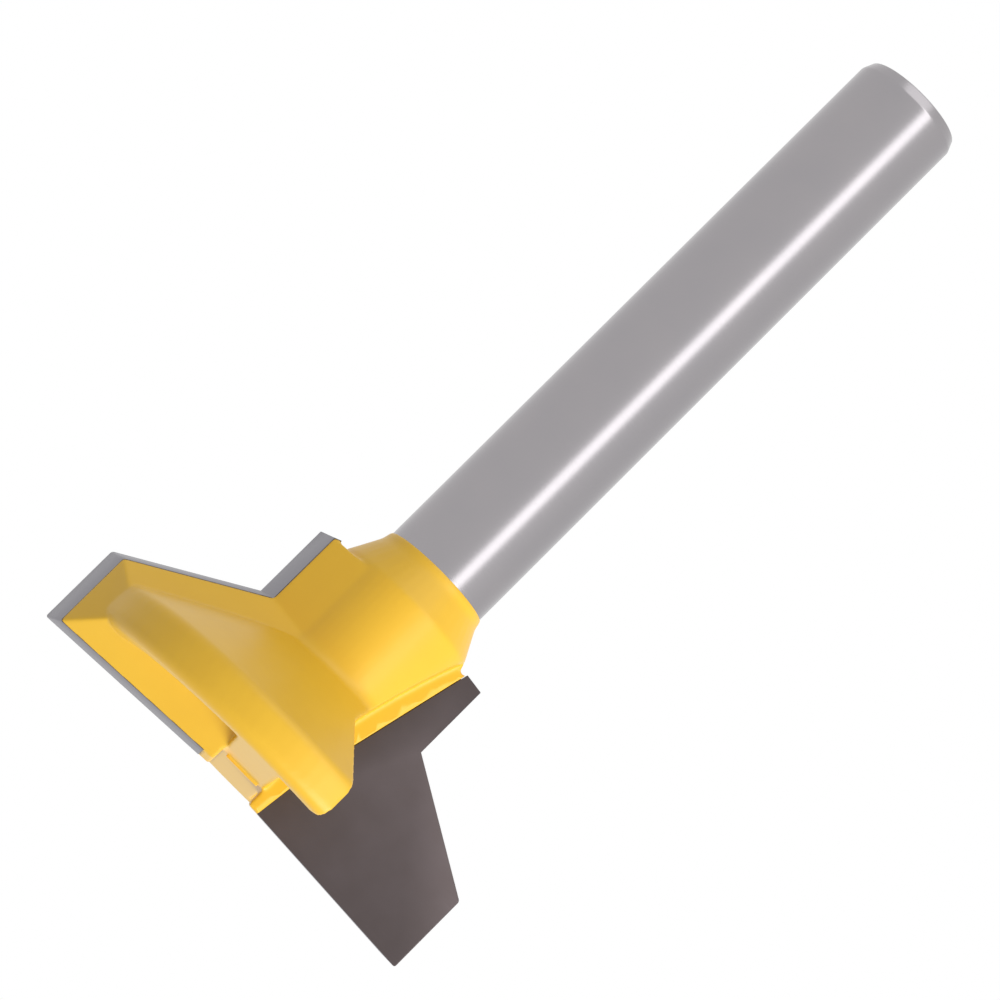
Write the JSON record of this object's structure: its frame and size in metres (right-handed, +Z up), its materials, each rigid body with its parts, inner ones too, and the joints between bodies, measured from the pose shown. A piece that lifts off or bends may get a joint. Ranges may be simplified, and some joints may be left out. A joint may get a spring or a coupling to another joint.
{
  "type": "drawer front router bit",
  "caption": "Slim straight shank with a painted winged head that carries brazed carbide tips, for moulding the edge and face of a drawer front.",
  "frame": {"origin": "on the shank's axis, at the height of the lowest points of the cutting edges", "axes": "+Z up along the shank, away from the cutting end; the cutting edges lie in the XZ plane"},
  "size_m": [0.0254, 0.0226, 0.0516],
  "materials": {
    "cutter_body": "glossy yellow enamel on the head, bare ground steel on the shank",
    "carbide": "ground tungsten carbide"
  },
  "bodies": {
    "root": {"cutter_body": "cutter_body", "carbide_tip_1": "carbide", "carbide_tip_2": "carbide"}
  },
  "joints": []
}
